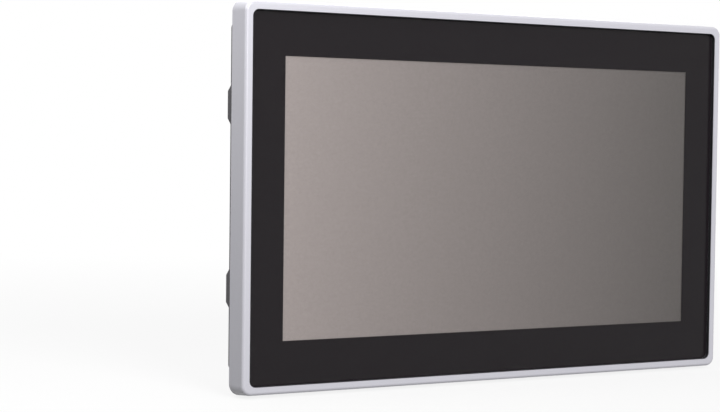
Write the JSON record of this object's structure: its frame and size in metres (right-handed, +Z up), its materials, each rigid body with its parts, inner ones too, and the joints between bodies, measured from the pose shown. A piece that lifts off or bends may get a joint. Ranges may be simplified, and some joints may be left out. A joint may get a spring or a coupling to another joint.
{
  "type": "hmi touch panel",
  "caption": "Industrial touch panel for a cabinet door: glass front in a light metal frame, rear housing with connector bays, screw clamps and a plug-in power connector.",
  "frame": {"origin": "centre of the mounting plane, where the gasket meets the front of the cabinet sheet", "axes": "+X to the operator's right, +Y into the cabinet, +Z up; the screen faces -Y"},
  "size_m": [0.4104, 0.0534, 0.2698],
  "materials": {
    "frame_paint": "satin light grey powder paint",
    "front_glass": "toughened, fine satin front",
    "black_print": "ceramic print, seen through the glass",
    "touch_glass": "clear",
    "black_tape": "matt foam tape",
    "display_face": "satin polariser",
    "light_guide": "clear acrylic between diffuser films",
    "sheet_steel": "zinc plated sheet",
    "cast_aluminium": "die cast",
    "seal_rubber": "matt",
    "housing_plastic": "spark textured",
    "cover_steel": "zinc plated, clear coat",
    "board": "solder mask",
    "chip": "moulded",
    "pad": "soft",
    "sink_aluminium": "extruded",
    "black_plastic": "moulded",
    "cream_plastic": "moulded",
    "cable_film": "film",
    "plated_steel": "nickel plated",
    "contact_brass": "plated",
    "card_plastic": "moulded",
    "plug_plastic": "moulded, warm light grey",
    "lever_plastic": "moulded, off-white",
    "clamp_plastic": "moulded, glass filled"
  },
  "bodies": {
    "panel": {"backlight": "light_guide", "cable_headers": "cream_plastic", "card_slot": "plated_steel", "clamp_bottom_left": "clamp_plastic", "clamp_bottom_right": "clamp_plastic", "clamp_nuts": "plated_steel", "clamp_sockets": "housing_plastic", "clamp_top_left": "clamp_plastic", "clamp_top_right": "clamp_plastic", "coin_cell": "plated_steel", "coin_holder": "black_plastic", "connector_bay_left": "housing_plastic", "connector_bay_right": "housing_plastic", "display_brackets": "sheet_steel", "display_cable": "cable_film", "display_cell": "display_face", "display_tray": "sheet_steel", "earth_nut": "plated_steel", "earth_stud": "plated_steel", "earth_washer": "plated_steel", "ethernet_socket_1": "plated_steel", "ethernet_socket_2": "plated_steel", "front_bezel": "frame_paint", "front_glass": "front_glass", "glass_mask": "black_print", "glass_tape": "black_tape", "heat_sink": "sink_aluminium", "mainboard": "board", "mounting_frame": "cast_aluminium", "panel_gasket": "seal_rubber", "power_header": "black_plastic", "power_pins": "contact_brass", "processor": "chip", "rear_cover": "cover_steel", "rear_housing": "housing_plastic", "serial_insert": "black_plastic", "serial_pins": "contact_brass", "serial_posts": "plated_steel", "serial_shell": "plated_steel", "thermal_pad": "pad", "touch_cable": "cable_film", "touch_sensor": "touch_glass", "usb_socket": "plated_steel", "usb_tongues": "black_plastic"},
    "power_plug": {"plug_body": "plug_plastic", "plug_contacts": "contact_brass"},
    "card": {"memory_card": "card_plastic"},
    "lever_1": {"plug_lever_1": "lever_plastic"},
    "lever_2": {"plug_lever_2": "lever_plastic"},
    "lever_3": {"plug_lever_3": "lever_plastic"},
    "lever_4": {"plug_lever_4": "lever_plastic"},
    "thrust_cap_top_left": {"cap_top_left": "clamp_plastic"},
    "clamp_screw_top_left": {"screw_top_left": "plated_steel"},
    "thrust_cap_top_right": {"cap_top_right": "clamp_plastic"},
    "clamp_screw_top_right": {"screw_top_right": "plated_steel"},
    "thrust_cap_bottom_left": {"cap_bottom_left": "clamp_plastic"},
    "clamp_screw_bottom_left": {"screw_bottom_left": "plated_steel"},
    "thrust_cap_bottom_right": {"cap_bottom_right": "clamp_plastic"},
    "clamp_screw_bottom_right": {"screw_bottom_right": "plated_steel"}
  },
  "joints": [
    {"name": "plug_pull", "type": "slide", "parent": "panel", "child": "power_plug", "axis": [0, 0, -1], "range_m": [0, 0.02]},
    {"name": "card_pull", "type": "slide", "parent": "panel", "child": "card", "axis": [0, 0, -1], "range_m": [0, 0.028]},
    {"name": "lever_1_press", "type": "slide", "parent": "power_plug", "child": "lever_1", "axis": [0, 0, 1], "range_m": [0, 0.0015], "stiffness_N_per_m": 300},
    {"name": "lever_2_press", "type": "slide", "parent": "power_plug", "child": "lever_2", "axis": [0, 0, 1], "range_m": [0, 0.0015], "stiffness_N_per_m": 300},
    {"name": "lever_3_press", "type": "slide", "parent": "power_plug", "child": "lever_3", "axis": [0, 0, 1], "range_m": [0, 0.0015], "stiffness_N_per_m": 300},
    {"name": "lever_4_press", "type": "slide", "parent": "power_plug", "child": "lever_4", "axis": [0, 0, 1], "range_m": [0, 0.0015], "stiffness_N_per_m": 300},
    {"name": "top_left_feed", "type": "slide", "parent": "panel", "child": "thrust_cap_top_left", "axis": [0, -1, 0], "range_m": [-0.0014, 0.0042]},
    {"name": "top_left_turn", "type": "hinge", "parent": "thrust_cap_top_left", "child": "clamp_screw_top_left", "pos_m": [-0.14, 0.02, 0.1292], "axis": [0, -1, 0], "range_deg": [-722, 2162]},
    {"name": "top_right_feed", "type": "slide", "parent": "panel", "child": "thrust_cap_top_right", "axis": [0, -1, 0], "range_m": [-0.0014, 0.0042]},
    {"name": "top_right_turn", "type": "hinge", "parent": "thrust_cap_top_right", "child": "clamp_screw_top_right", "pos_m": [0.14, 0.02, 0.1292], "axis": [0, -1, 0], "range_deg": [-722, 2162]},
    {"name": "bottom_left_feed", "type": "slide", "parent": "panel", "child": "thrust_cap_bottom_left", "axis": [0, -1, 0], "range_m": [-0.0014, 0.0042]},
    {"name": "bottom_left_turn", "type": "hinge", "parent": "thrust_cap_bottom_left", "child": "clamp_screw_bottom_left", "pos_m": [-0.14, 0.02, -0.1292], "axis": [0, -1, 0], "range_deg": [-722, 2162]},
    {"name": "bottom_right_feed", "type": "slide", "parent": "panel", "child": "thrust_cap_bottom_right", "axis": [0, -1, 0], "range_m": [-0.0014, 0.0042]},
    {"name": "bottom_right_turn", "type": "hinge", "parent": "thrust_cap_bottom_right", "child": "clamp_screw_bottom_right", "pos_m": [0.14, 0.02, -0.1292], "axis": [0, -1, 0], "range_deg": [-722, 2162]}
  ],
  "couplings": [
    {"joint": "top_left_turn", "follows": "top_left_feed", "rad_per_m": 8976},
    {"joint": "top_right_turn", "follows": "top_right_feed", "rad_per_m": 8976},
    {"joint": "bottom_left_turn", "follows": "bottom_left_feed", "rad_per_m": 8976},
    {"joint": "bottom_right_turn", "follows": "bottom_right_feed", "rad_per_m": 8976}
  ]
}
